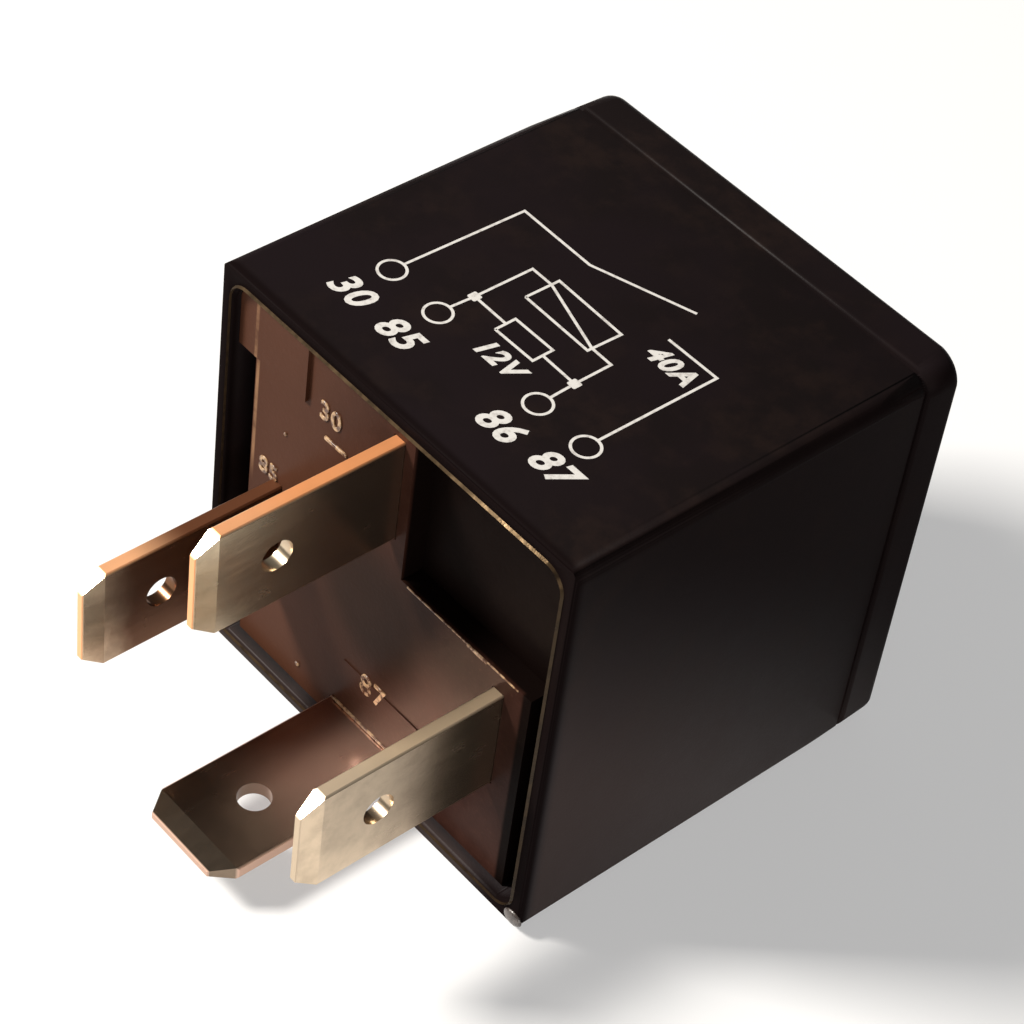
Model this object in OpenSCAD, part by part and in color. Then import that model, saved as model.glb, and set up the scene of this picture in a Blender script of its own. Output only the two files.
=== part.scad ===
// Plug-in automotive relay: a five-sided moulded cover over a moulded base with
// four 6.3 mm blade terminals, and the electromagnet, rocking armature and
// contact pair that the cover hides.
//
// X runs across the terminal face, +Z is the face that carries the circuit
// drawing, and the blades point along -Y. The cover lies on its plain face.

/* [Cover] */
// Width across the end band
case_w = 26; // [25.4:0.1:28]
// Height across the end band
case_h = 25.6; // [23.1:0.1:28]
// Depth from the open rim to the closed end
case_d = 24.8; // [22.4:0.1:28]
// Thickness of the four side walls
wall = 1; // [0.8:0.05:1.2]
// Thickness of the closed end
roof = 1.1; // [0.8:0.05:1.2]
// Radius of the four long outer edges
edge_r = 0.9; // [0.6:0.1:2]
// Radius round the closed end
end_r = 0.6; // [0.3:0.1:1]
// Radius of the outer edge of the open rim
rim_r = 0.25; // [0.1:0.05:0.4]
// Chamfer of the inner edge of the open rim
mouth_cut = 0.15; // [0.05:0.05:0.25]
// Radius of the long inner corners
inner_r = 1; // [0.5:0.1:1.5]
// Distance from the closed end to the near side of the groove
band_l = 2.4; // [1.8:0.1:4]
// Width of the groove below the end band
groove_w = 0.3; // [0.2:0.05:0.8]
// Depth of the groove below the side walls
groove_d = 0.15; // [0.1:0.05:0.4]
// Height of the end band above the side walls
band_proud = 0.12; // [0.05:0.01:0.3]

/* [Base] */
// Depth of the base's face below the rim
base_recess = 0.65; // [0.4:0.05:1]
// Thickness of the base
base_t = 4; // [3.6:0.1:4.2]
// Clearance between the base and the cover
fit_gap = 0.04; // [0.02:0.01:0.08]
// Width of the sunk channel along each side of the face
channel_w = 1.15; // [0.6:0.05:1.5]
// Depth of the side channels and their ends below the face
channel_d = 1.9; // [1:0.1:2.4]
// Distance from the centre line to the left edge of the corner pocket
pocket_side = 1.1; // [0.9:0.1:3]
// Distance from the top wall to the foot of the corner pocket
pocket_h = 9.7; // [8:0.1:10.5]
// Depth of the corner pocket below the face
pocket_d = 1.3; // [0.8:0.1:2.4]
// Width of the raised corner key
key_w = 5.2; // [3:0.1:7]
// Height of the raised corner key
key_h = 3.9; // [2:0.1:5]
// Height of the corner key above the face
key_proud = 0.2; // [0.1:0.05:0.5]
// Width of the raised pad beside the lower terminal
pad_w = 7.2; // [5:0.1:9]
// Height of the raised pad beside the lower terminal
pad_h = 3.2; // [2:0.1:4]
// Height of that pad above the face
pad_proud = 0.06; // [0.03:0.01:0.2]
// Distance from the centre line to the middle of that pad
pad_side = 1.3; // [0.5:0.1:2]
// Gap between that pad and the lower terminal
pad_gap = 0.3; // [0.2:0.05:0.6]
// Length of each latch wall inside the cover
latch_l = 8; // [4:0.5:12]
// Height of the latch walls above the base's inner face
latch_h = 2.4; // [2:0.1:3]
// Thickness of the latch walls
latch_t = 1; // [0.8:0.1:1.2]
// Reach of each latch nose into the cover wall
nose_out = 0.3; // [0.1:0.05:0.4]
// Height of each latch nose
nose_h = 1.2; // [0.8:0.1:1.6]
// Width of the flat end of each latch nose
nose_flat = 0.4; // [0.2:0.05:0.5]

/* [Terminals] */
// Width of each blade
blade_w = 6.3; // [6.2:0.05:6.4]
// Thickness of each blade
blade_t = 0.8; // [0.77:0.01:0.84]
// Reach of the blades beyond the rim
blade_out = 11.2; // [9:0.1:13]
// Diameter of the detent hole
hole_d = 1.8; // [1.4:0.05:2]
// Distance from the tip to the detent hole's centre
hole_back = 4.6; // [4:0.1:5]
// Width of the cut at each tip corner
tip_cut_w = 0.9; // [0.5:0.1:1.4]
// Length of the cut at each tip corner
tip_cut_l = 1.3; // [0.8:0.1:2]
// Length of the lead-in bevel on both faces
lead_l = 1.2; // [0.6:0.1:2]
// Thickness left at the very tip
tip_t = 0.35; // [0.2:0.05:0.5]
// Bevel along the long edges
blade_bevel = 0.1; // [0.05:0.01:0.2]
// Clearance of the terminals in their slots
slot_gap = 0.03; // [0.01:0.01:0.06]
// Gap between the upper terminal and the cover's upper wall
t30_gap = 1.23; // [0.9:0.01:1.6]
// Drop of the two coil terminals below the cover's centre line
coil_tab_drop = 2.4; // [2:0.1:2.8]
// Distance of each coil terminal from the centre line
coil_tab_side = 8.5; // [8.3:0.1:9]
// Gap between the lower terminal and the cover's lower wall
t87_gap = 0.68; // [0.5:0.01:1]
// Width of each coil terminal inside the cover
post_w = 3; // [2.4:0.1:3.6]
// Height of each coil terminal above the base's inner face
post_h = 5.9; // [5:0.1:6.5]
// Side of the square horn that holds the winding's end
horn = 0.8; // [0.6:0.05:0.8]
// Length of that horn
horn_l = 2; // [1.6:0.1:2.6]
// Width of the riveted tenon on the upper terminal
tenon_w = 2.2; // [1.6:0.1:2.4]
// Distance from the tenon's slot to the yoke's bend
tenon_drop = 0.4; // [0.2:0.1:0.8]
// Width of the lower terminal's stem inside the cover
stem_w = 5; // [4:0.1:6]
// Outer bend radius of the lower terminal
stem_bend = 1.2; // [0.9:0.1:1.6]

/* [Coil] */
// Room for the contacts between the bobbin's flanges and the lower wall
foot_room = 4.88; // [4.8:0.01:5.4]
// Room for the contact spring between the yoke and the upper wall
top_room = 2.68; // [2.4:0.01:3]
// Room for the armature between the pole face and the closed end
rock_room = 4.75; // [4.6:0.05:5.4]
// Share of the winding's radius that the iron core takes
iron_share = 0.46; // [0.42:0.01:0.5]
// Step in radius from the iron core to its riveted end
core_step = 0.8; // [0.6:0.1:1.2]
// Reach of the core's riveted end below the yoke's foot
core_upset = 0.3; // [0.1:0.05:0.4]
// Depth of its seat in the base
seat_d = 0.5; // [0.45:0.05:0.8]
// Clearance round it in that seat
seat_gap = 0.6; // [0.3:0.05:0.8]
// Reach of the pole head past the core
pole_lip = 1.2; // [0.8:0.1:1.5]
// Thickness of the pole head
pole_t = 1; // [0.8:0.1:1.4]
// Thickness of the bobbin's tube
tube_t = 0.7; // [0.5:0.05:0.9]
// Thickness of the bobbin's flanges
flange_t = 1; // [0.8:0.1:1.2]
// Reach of the flanges past the winding
flange_lip = 0.4; // [0.3:0.05:0.5]
// Radius of the flange corners
flange_r = 1.2; // [0.6:0.1:2]
// Radius of the winding's lead wire
wire_r = 0.14; // [0.1:0.01:0.2]
// Length of the lead wire's wrap round the horn
wrap_l = 1.2; // [0.8:0.1:1.5]
// Distance from the horn's shoulder to that wrap
wrap_up = 0.3; // [0.1:0.05:0.4]

/* [Magnet frame] */
// Thickness of the yoke
yoke_t = 1.5; // [1.2:0.1:1.6]
// Width of the yoke
yoke_w = 12; // [11.6:0.1:13]
// Outer bend radius of the yoke
yoke_bend = 2; // [1.7:0.1:2.4]
// Gap between the yoke and the bobbin's flanges
yoke_gap = 0.5; // [0.3:0.05:0.6]
// Reach of the yoke's foot past the coil's axis
foot_reach = 4.6; // [4:0.1:5]
// Thickness of the armature
arm_t = 1.5; // [1.2:0.05:1.6]
// Width of the armature
arm_w = 10.4; // [9.6:0.1:10.8]
// Distance from the armature's free end to the lower edge of the flanges
arm_short = 1.3; // [1:0.1:1.7]
// Height of the armature's rivets above the coil's axis
arm_rivet_up = 2; // [1:0.1:3]
// Corner cut at the armature's free end
arm_cut = 1.4; // [0.6:0.1:2]
// Air gap left between the closed armature and the pole
arm_gap = 0.05; // [0.03:0.01:0.08]
// Angle by which the armature rocks open
open_deg = 4; // [3:0.25:4.5]
// Length of the stop hooks along the armature's edge
stop_l = 2.6; // [2:0.1:3]
// Reach of each stop hook over the armature
stop_reach = 1.2; // [0.8:0.1:1.6]
// Thickness of each stop hook
stop_t = 0.8; // [0.6:0.1:1]
// Clearance between the stop posts and the armature's sides
stop_gap = 0.4; // [0.3:0.05:0.5]

/* [Contacts] */
// Thickness of the contact spring
leaf_t = 0.25; // [0.2:0.05:0.3]
// Width of the contact spring over the armature and the yoke
leaf_w = 6; // [5.4:0.1:6.4]
// Width of the finger that carries the moving contact
finger_w = 4.4; // [4:0.1:5]
// Length of the contact spring down the yoke's back
leaf_leg = 7.5; // [6:0.1:8.5]
// Distance from the yoke's end to the start of the free bend
leaf_free = 1.8; // [1.4:0.1:2.2]
// Distance from the hinge line to where the spring meets the armature
leaf_wrap = 0.8; // [0.4:0.1:1.2]
// Distance from the armature's end to the narrow finger
finger_drop = 0.5; // [0.3:0.1:0.8]
// Reach of the spring and the lower terminal's tab past the contacts
contact_edge = 0.15; // [0.1:0.01:0.2]
// Radius of the contact heads
contact_r = 1.6; // [1.4:0.05:1.7]
// Thickness of the contact heads
contact_t = 0.9; // [0.7:0.05:1]
// Radius of the contact shanks
shank_r = 0.7; // [0.6:0.05:0.9]
// Radius of the contacts' riveted ends
upset_r = 0.9; // [0.8:0.05:1]
// Gap left between the contacts at the end of the stroke
closed_gap = 0.05; // [0.03:0.01:0.08]
// Clearance between the lower terminal's tab and the bobbin's flange
tab_gap = 0.4; // [0.3:0.05:0.6]
// Radius of the rivet heads
rivet_head_r = 1.1; // [0.9:0.05:1.2]
// Radius of the rivet shanks
rivet_r = 0.6; // [0.5:0.05:0.7]
// Height of the rivet heads
rivet_head_h = 0.45; // [0.3:0.05:0.6]
// Distance of each rivet from the centre line
rivet_x = 1.7; // [1.4:0.05:1.8]
// Clearance of shanks in their holes
hole_gap = 0.03; // [0.01:0.01:0.05]

/* [Suppression resistor] */
// Radius of the resistor's end caps
res_r = 1.2; // [0.9:0.05:1.3]
// Radius of the resistor's waist
res_waist_r = 1; // [0.8:0.05:1.1]
// Length of the resistor's body
res_l = 6.3; // [5:0.1:7]
// Length of each end cap
res_cap = 1.4; // [1:0.1:1.8]
// Radius of the resistor's leads
lead_r = 0.3; // [0.2:0.05:0.35]
// Bend radius of the leads
lead_bend = 0.9; // [0.6:0.1:1.2]
// Drop of the resistor below the bobbin's flanges
res_drop = 0.4; // [0.2:0.05:0.6]
// Height of the resistor above the base's inner face
res_up = 4.6; // [3:0.1:5]
// Overlap of each lead with its terminal
lead_lap = 1.4; // [0.8:0.1:2]

/* [Pigtail] */
// Radius of the braided pigtail
braid_r = 0.65; // [0.5:0.05:0.75]
// Distance of the pigtail's weld from the centre line
weld_side = 4.4; // [4:0.1:4.8]
// Reach of the pigtail past the yoke's side
braid_out = 3.4; // [3:0.1:3.8]
// Distance from the narrow finger's start to the pigtail
braid_drop = 0.9; // [0.7:0.1:1.1]

/* [Hidden] */
$fn = 48;

eps = 0.01;         // overlap of forms that are fused
over = 1;           // overshoot of cuts
touch = 0.02;       // gap between two pieces that lie against each other

// The cover's centre line, and where its open rim lies in the part's frame
mid_z = case_h / 2;
rim_y = (blade_out - case_d) / 2;

// Side walls, cavity and base; every Y below is counted from the rim
shell_w = case_w - 2 * band_proud;
shell_h = case_h - 2 * band_proud;
cavity_w = shell_w - 2 * wall;
cavity_h = shell_h - 2 * wall;
cavity_top = mid_z + cavity_h / 2;
cavity_foot = mid_z - cavity_h / 2;
base_w = cavity_w - 2 * fit_gap;
base_h = cavity_h - 2 * fit_gap;
base_top = mid_z + base_h / 2;
base_in = base_recess + base_t;
face_half = base_w / 2 - channel_w;

// Terminals
t30_z = cavity_top - t30_gap - blade_w / 2;
coil_tab_z = mid_z - coil_tab_drop;
t87_z = cavity_foot + t87_gap + blade_t / 2;

// Magnet frame
foot_top = base_in + yoke_t;
pole_face = case_d - roof - rock_room;
bobbin_top = pole_face - pole_t;
flange_foot = cavity_foot + foot_room;
yoke_out_z = cavity_top - top_room;
yoke_in_z = yoke_out_z - yoke_t;
flange_w = yoke_in_z - yoke_gap - flange_foot;
coil_z = flange_foot + flange_w / 2;
winding_r = flange_w / 2 - flange_lip;
core_r = winding_r * iron_share;
tube_r = core_r + tube_t;
core_tenon_r = core_r - core_step;
pole_r = core_r + pole_lip;
foot_end_z = coil_z - foot_reach;
tenon_z = yoke_out_z - yoke_bend - tenon_w / 2 - tenon_drop;

// The armature rocks on the yoke's outer edge
hinge_y = pole_face + arm_gap;
hinge_z = yoke_out_z;
arm_l = hinge_z - flange_foot - arm_short;
arm_top = hinge_y + arm_t;
arm_rivet_z = coil_z + arm_rivet_up;
stop_z = hinge_z - arm_l + arm_cut;
stop_y = hinge_y + arm_t * cos(open_deg) + (hinge_z - stop_z) * sin(open_deg) + touch;
post_x = arm_w / 2 + stop_gap;

// Contacts
tab_end_z = flange_foot - tab_gap;
contact_z = tab_end_z - contact_r - contact_edge;
tab_top = arm_top - contact_t - closed_gap - contact_t;
leaf_tip_z = contact_z - contact_r - contact_edge;
finger_z = hinge_z - arm_l - finger_drop;
leg_top = pole_face - leaf_free;
leg_end = leg_top - leaf_leg;
spring_rivet_y = leg_top - leaf_leg / 2;

// Resistor
res_z = flange_foot - res_drop - res_r;
res_y = base_in + res_up;
lead_x = coil_tab_side - blade_t / 2 - touch - lead_r;
lead_top_z = coil_tab_z - blade_w / 2 + lead_lap;

plastic = [0.09, 0.08, 0.085];
phenolic = [0.42, 0.29, 0.25];
tinned_brass = [0.74, 0.68, 0.54];
copper = [0.72, 0.38, 0.2];
iron = [0.6, 0.6, 0.58];
nylon = [0.85, 0.83, 0.76];
silver = [0.83, 0.83, 0.81];

// ---------------------------------------------------------------- helpers

// Places pieces, counted from the rim, in the part's frame
module in_case() {
    translate([0, rim_y, 0]) children();
}

// Extrudes an outline drawn in X and Z from y0 to y1
module along_y(y0, y1) {
    translate([0, y1, 0]) rotate([90, 0, 0]) linear_extrude(y1 - y0) children();
}

// Extrudes an outline drawn in Y and Z over the width w, centred on X
module along_x(w) {
    rotate([90, 0, 90]) linear_extrude(w, center = true) children();
}

// Turns a piece from the closed armature to its open rest place
module opened() {
    translate([0, hinge_y, hinge_z]) rotate([open_deg, 0, 0])
        translate([0, -hinge_y, -hinge_z]) children();
}

// Block from one corner to the opposite one
module block(low, high) {
    translate(low) cube(high - low);
}

// Rectangle with round corners, centred
module round_rect(w, h, r) {
    square([w - 2 * r, h], center = true);
    square([w, h - 2 * r], center = true);
    for (x = [-1, 1], y = [-1, 1])
        translate([x * (w / 2 - r), y * (h / 2 - r)]) circle(r);
}

// Side outline of a box of width w from y0 to y1, with the corners at the
// low end rounded by r0 and those at the high end by r1
module ended_rect(w, y0, y1, r0, r1) {
    translate([-w / 2, y0 + r0]) square([w, y1 - y0 - r0 - r1]);
    for (e = [[y0, r0, 1], [y1, r1, -1]]) {
        translate([-w / 2 + e[1], e[2] > 0 ? e[0] : e[0] - e[1] - eps])
            square([w - 2 * e[1], e[1] + eps]);
        for (s = [-1, 1])
            translate([s * (w / 2 - e[1]), e[0] + e[2] * e[1]]) circle(e[1]);
    }
}

// Box with round long edges, and round edges at its two ends
module soft_box(w, h, y0, y1, r, r0, r1) {
    intersection() {
        translate([0, 0, mid_z]) along_y(y0, y1) round_rect(w, h, r);
        linear_extrude(case_h + over) ended_rect(w, y0, y1, r0, r1);
        translate([0, 0, mid_z]) rotate([0, 90, 0])
            linear_extrude(case_w + over, center = true) ended_rect(h, y0, y1, r0, r1);
    }
}

// Round bar along Y
module bar_y(r, y0, y1) {
    translate([0, y1, 0]) rotate([90, 0, 0]) cylinder(r = r, h = y1 - y0);
}

// Round bar along Z
module bar_z(r, z0, z1) {
    translate([0, 0, z0]) cylinder(r = r, h = z1 - z0);
}

// Strip of thickness t bent from +Y into +Z, its outer corner at y1 and z0,
// drawn in Y and Z
module bent_strip(y0, y1, z0, z1, t, bend) {
    translate([y0, z0]) square([y1 - bend - y0, t]);
    translate([y1 - t, z0 + bend]) square([t, z1 - z0 - bend]);
    intersection() {
        translate([y1 - bend, z0 + bend]) difference() {
            circle(bend);
            circle(bend - t);
        }
        translate([y1 - bend - eps, z0 - eps]) square([bend + 2 * eps, bend + 2 * eps]);
    }
}

// ------------------------------------------------------------------ cover

// Pockets in the side walls for the latch noses
module latch_pockets(grow) {
    for (s = [-1, 1])
        translate([s * (cavity_w / 2 - grow), base_in + latch_h / 2, mid_z])
            cube([2 * (nose_out + grow), nose_h + 2 * grow, latch_l / 2 + 2 * grow], center = true);
}

// Bevel that leads the base into the open rim
module mouth_bevel() {
    wide = [cavity_w + 2 * mouth_cut, cavity_h + 2 * mouth_cut];
    narrow = [cavity_w - 2 * eps, cavity_h - 2 * eps];
    translate([0, -eps, mid_z]) rotate([-90, 0, 0])
        linear_extrude(mouth_cut + eps, scale = [narrow[0] / wide[0], narrow[1] / wide[1]])
            round_rect(wide[0], wide[1], inner_r);
}

module cover() {
    color(plastic) in_case() difference() {
        union() {
            soft_box(shell_w, shell_h, 0, case_d - band_l - groove_w, edge_r, rim_r, eps);
            translate([0, 0, mid_z])
                along_y(case_d - band_l - groove_w - eps, case_d - band_l + eps)
                    round_rect(shell_w - 2 * groove_d, shell_h - 2 * groove_d, edge_r);
            soft_box(case_w, case_h, case_d - band_l, case_d, edge_r, band_proud, end_r);
        }
        translate([0, 0, mid_z]) along_y(-over, case_d - roof)
            round_rect(cavity_w, cavity_h, inner_r);
        mouth_bevel();
        latch_pockets(fit_gap);
    }
}

// ------------------------------------------------------------------- base

// Slot for one blade, upright or flat
module blade_slot(x, z, upright) {
    w = blade_w + 2 * slot_gap;
    t = blade_t + 2 * slot_gap;
    size = upright ? [t, base_in + over, w] : [w, base_in + over, t];
    translate([x, base_in / 2, z]) cube(size, center = true);
}

module base() {
    left = -base_w / 2;
    key_foot = base_top - key_h;
    pad_foot = t87_z + blade_t / 2 + pad_gap;
    color(phenolic) in_case() difference() {
        union() {
            translate([0, 0, mid_z]) along_y(base_recess, base_in)
                round_rect(base_w, base_h, inner_r);
            // Raised key in the upper left corner
            intersection() {
                translate([0, 0, mid_z]) along_y(base_recess - key_proud, base_in)
                    round_rect(base_w, base_h, inner_r);
                block([left, 0, key_foot], [left + key_w, base_in, base_top]);
            }
            // Raised pad over the lower terminal
            block([pad_side - pad_w / 2, base_recess - pad_proud, pad_foot],
                  [pad_side + pad_w / 2, base_in, pad_foot + pad_h]);
            // Latch walls with their noses
            for (s = [-1, 1])
                translate([s * (base_w / 2 - latch_t / 2), base_in + latch_h / 2 - eps, mid_z])
                    cube([latch_t, latch_h, latch_l], center = true);
            latch_noses();
        }
        // Sunk channels along both sides of the face, up to the corner key
        block([face_half, -over, -over], [case_w, base_recess + channel_d, case_h + over]);
        block([-case_w, -over, -over], [-face_half, base_recess + channel_d, key_foot]);
        // Sunk pocket to the right of the upper terminal
        block([pocket_side, -over, cavity_top - pocket_h], [case_w, base_recess + pocket_d, case_h + over]);
        // Blade slots
        blade_slot(0, t30_z, true);
        for (s = [-1, 1]) blade_slot(s * coil_tab_side, coil_tab_z, true);
        blade_slot(0, t87_z, false);
        // Dished seat for the riveted end of the core
        translate([0, 0, coil_z]) bar_y(core_tenon_r + seat_gap, base_in - seat_d, base_in + over);
    }
}

// Wedges that snap into the cover's pockets
module latch_noses() {
    for (s = [-1, 1])
        translate([s * (base_w / 2 - eps), base_in + latch_h / 2, mid_z])
            scale([s, 1, 1]) linear_extrude(latch_l / 2, center = true)
                polygon([
                    [0, -nose_h / 2], [nose_out, -nose_h / 2],
                    [nose_out, nose_flat - nose_h / 2], [0, nose_h / 2]
                ]);
}

// -------------------------------------------------------------- terminals

// Flat blade along -Y, its width along X, that ends inside at y1
module blade(y1) {
    tip = -blade_out;
    half = blade_w / 2;
    intersection() {
        linear_extrude(blade_t, center = true) difference() {
            polygon([
                [-half, y1], [-half, tip + tip_cut_l], [-half + tip_cut_w, tip],
                [half - tip_cut_w, tip], [half, tip + tip_cut_l], [half, y1]
            ]);
            translate([0, tip + hole_back]) circle(d = hole_d);
        }
        along_x(blade_w + over) polygon([
            [tip, -tip_t / 2], [tip + lead_l, -blade_t / 2], [y1, -blade_t / 2],
            [y1, blade_t / 2], [tip + lead_l, blade_t / 2], [tip, tip_t / 2]
        ]);
        along_y(tip - over, y1 + over) bevelled_rect(blade_w, blade_t, blade_bevel);
    }
}

// Rectangle with its corners cut, centred
module bevelled_rect(w, t, cut) {
    polygon([
        [-w / 2, t / 2 - cut], [-w / 2 + cut, t / 2], [w / 2 - cut, t / 2], [w / 2, t / 2 - cut],
        [w / 2, cut - t / 2], [w / 2 - cut, -t / 2], [cut - w / 2, -t / 2], [-w / 2, cut - t / 2]
    ]);
}

module terminal_30() {
    color(tinned_brass) in_case() {
        translate([0, 0, t30_z]) rotate([0, 90, 0]) blade(base_in - touch);
        // Tenon riveted into the yoke's foot
        translate([0, base_in - touch - eps, tenon_z]) translate([-blade_t / 2, 0, -tenon_w / 2])
            cube([blade_t, yoke_t + eps, tenon_w]);
    }
}

module coil_terminal(side) {
    foot_z = coil_tab_z - blade_w / 2 + blade_bevel;
    color(tinned_brass) in_case() translate([side * coil_tab_side, 0, 0]) {
        translate([0, 0, coil_tab_z]) rotate([0, 90, 0]) blade(base_in);
        block([-blade_t / 2, base_in - eps, foot_z], [blade_t / 2, base_in + post_h, foot_z + post_w]);
        // Horn for the winding's end
        block([-horn / 2, base_in + post_h - eps, foot_z + post_w - horn],
              [horn / 2, base_in + post_h + horn_l, foot_z + post_w]);
    }
}

module terminal_85() { coil_terminal(-1); }

module terminal_86() { coil_terminal(1); }

module terminal_87() {
    color(tinned_brass) in_case() {
        translate([0, 0, t87_z]) blade(base_in);
        difference() {
            along_x(stem_w)
                bent_strip(base_in - eps, tab_top, t87_z - blade_t / 2, tab_end_z, blade_t, stem_bend);
            translate([0, 0, contact_z]) bar_y(shank_r + hole_gap, tab_top - blade_t - over, tab_top + over);
        }
    }
}

// ----------------------------------------------------------- magnet frame

module yoke() {
    color(iron) in_case() difference() {
        along_x(yoke_w) union() {
            translate([base_in, foot_end_z])
                square([yoke_t, yoke_out_z - yoke_bend - foot_end_z]);
            translate([base_in + yoke_bend, yoke_in_z])
                square([pole_face - base_in - yoke_bend, yoke_t]);
            intersection() {
                translate([base_in + yoke_bend, yoke_out_z - yoke_bend]) difference() {
                    circle(yoke_bend);
                    circle(yoke_bend - yoke_t);
                }
                translate([base_in - eps, yoke_out_z - yoke_bend - eps])
                    square([yoke_bend + 2 * eps, yoke_bend + 2 * eps]);
            }
        }
        translate([0, 0, coil_z]) bar_y(core_tenon_r + hole_gap, base_in - over, foot_top + over);
        translate([0, base_in + yoke_t / 2, tenon_z])
            cube([blade_t + 2 * slot_gap, yoke_t + over, tenon_w + 2 * slot_gap], center = true);
        for (s = [-1, 1]) translate([s * rivet_x, spring_rivet_y, 0])
            bar_z(rivet_r + hole_gap, yoke_in_z - over, yoke_out_z + over);
    }
}

module core() {
    color(iron) in_case() translate([0, 0, coil_z]) {
        bar_y(core_tenon_r, base_in - core_upset, foot_top + 2 * touch);
        bar_y(core_r, foot_top + touch, bobbin_top + 2 * touch);
        bar_y(pole_r, bobbin_top + touch, pole_face);
    }
}

module bobbin() {
    hook_z = stop_z + stop_l;
    color(nylon) in_case() {
        difference() {
            translate([0, 0, coil_z]) {
                bar_y(tube_r, foot_top + touch, bobbin_top);
                for (y = [foot_top + touch, bobbin_top - flange_t])
                    along_y(y, y + flange_t - touch) round_rect(flange_w, flange_w, flange_r);
            }
            translate([0, 0, coil_z]) bar_y(core_r + hole_gap, foot_top - over, bobbin_top + over);
        }
        // Stop posts, hooked over the armature's edges
        for (s = [-1, 1]) scale([s, 1, 1]) {
            block([post_x, bobbin_top - flange_t, stop_z], [flange_w / 2, stop_y + stop_t, hook_z]);
            block([arm_w / 2 - stop_reach, stop_y, stop_z], [post_x + eps, stop_y + stop_t, hook_z]);
        }
    }
}

module coil_winding() {
    y0 = foot_top + flange_t + 2 * touch;
    y1 = bobbin_top - flange_t - touch;
    color(copper) in_case() translate([0, 0, coil_z]) difference() {
        bar_y(winding_r, y0, y1);
        bar_y(tube_r + touch, y0 - over, y1 + over);
    }
}

// Lead wire from the winding to the wrap round the terminal's horn
module coil_wire(side) {
    horn_z = coil_tab_z - blade_w / 2 + blade_bevel + post_w - horn / 2;
    wrap_y = base_in + post_h + wrap_up;
    wrap_r = horn * 0.5 * sqrt(2) + 2 * wire_r;
    start_x = sqrt(pow(winding_r, 2) - pow(coil_z - horn_z, 2)) + wire_r + 2 * touch;
    run = [coil_tab_side - wrap_r + wire_r - start_x, wrap_l];
    color(copper) in_case() scale([side, 1, 1]) translate([0, 0, horn_z]) {
        difference() {
            translate([coil_tab_side, 0, 0]) bar_y(wrap_r, wrap_y, wrap_y + wrap_l);
            translate([coil_tab_side, wrap_y, 0])
                cube([horn + 2 * touch, 4 * wrap_l, horn + 2 * touch], center = true);
        }
        translate([start_x, wrap_y + wire_r - wrap_l / 2, 0])
            rotate([-90, 0, -atan2(run[0], run[1])]) cylinder(r = wire_r, h = norm(run), $fn = 16);
    }
}

module coil_wire_85() { coil_wire(-1); }

module coil_wire_86() { coil_wire(1); }

// Plate with cut corners at its free end, open by open_deg
module armature() {
    free = hinge_z - arm_l;
    color(iron) in_case() opened() difference() {
        along_y(hinge_y, arm_top) polygon([
            [-arm_w / 2, hinge_z], [arm_w / 2, hinge_z], [arm_w / 2, free + arm_cut],
            [arm_w / 2 - arm_cut, free], [arm_cut - arm_w / 2, free], [-arm_w / 2, free + arm_cut]
        ]);
        for (s = [-1, 1]) translate([s * rivet_x, 0, arm_rivet_z])
            bar_y(rivet_r + hole_gap, hinge_y - over, arm_top + over);
    }
}

module armature_rivets() {
    color(iron) in_case() opened()
        for (s = [-1, 1]) translate([s * rivet_x, 0, arm_rivet_z]) {
            bar_y(rivet_r, hinge_y + touch, arm_top + leaf_t + 2 * touch + eps);
            bar_y(rivet_head_r, arm_top + leaf_t + 2 * touch, arm_top + leaf_t + rivet_head_h);
        }
}

// --------------------------------------------------------------- contacts

function turned(p) = [
    hinge_y + (p[0] - hinge_y) * cos(open_deg) - (p[1] - hinge_z) * sin(open_deg),
    hinge_z + (p[0] - hinge_y) * sin(open_deg) + (p[1] - hinge_z) * cos(open_deg)
];
function bezier(p, t) =
    pow(1 - t, 3) * p[0] + 3 * t * pow(1 - t, 2) * p[1] + 3 * t * t * (1 - t) * p[2] + pow(t, 3) * p[3];
function unit(v) = v / norm(v);
function left_of(v) = [-v[1], v[0]];

// Middle line of the contact spring, in Y and Z: up the yoke's back, round
// the hinge line in a free bend, and along the open armature to its tip
leaf_y = arm_top + touch + leaf_t / 2;
leaf_z = yoke_out_z + touch + leaf_t / 2;
bend_from = [leg_top, leaf_z];
bend_to = turned([leaf_y, hinge_z - leaf_wrap]);
bend_poles = [
    bend_from, bend_from + leaf_free * [0.95, 0.5],
    bend_to + [0.1, leaf_wrap + leaf_free], bend_to
];
bend_steps = 14;
leaf_path = concat(
    [[leg_end, leaf_z]],
    [for (i = [0 : bend_steps]) bezier(bend_poles, i / bend_steps)],
    [turned([leaf_y, leaf_tip_z])]
);

// Band of thickness t along a path
function side_of(path, d) = [
    for (i = [0 : len(path) - 1])
        let (
            a = path[max(i - 1, 0)],
            b = path[min(i + 1, len(path) - 1)]
        )
        path[i] + d * left_of(unit(b - a))
];
function reversed(list) = [for (i = [len(list) - 1 : -1 : 0]) list[i]];

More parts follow.
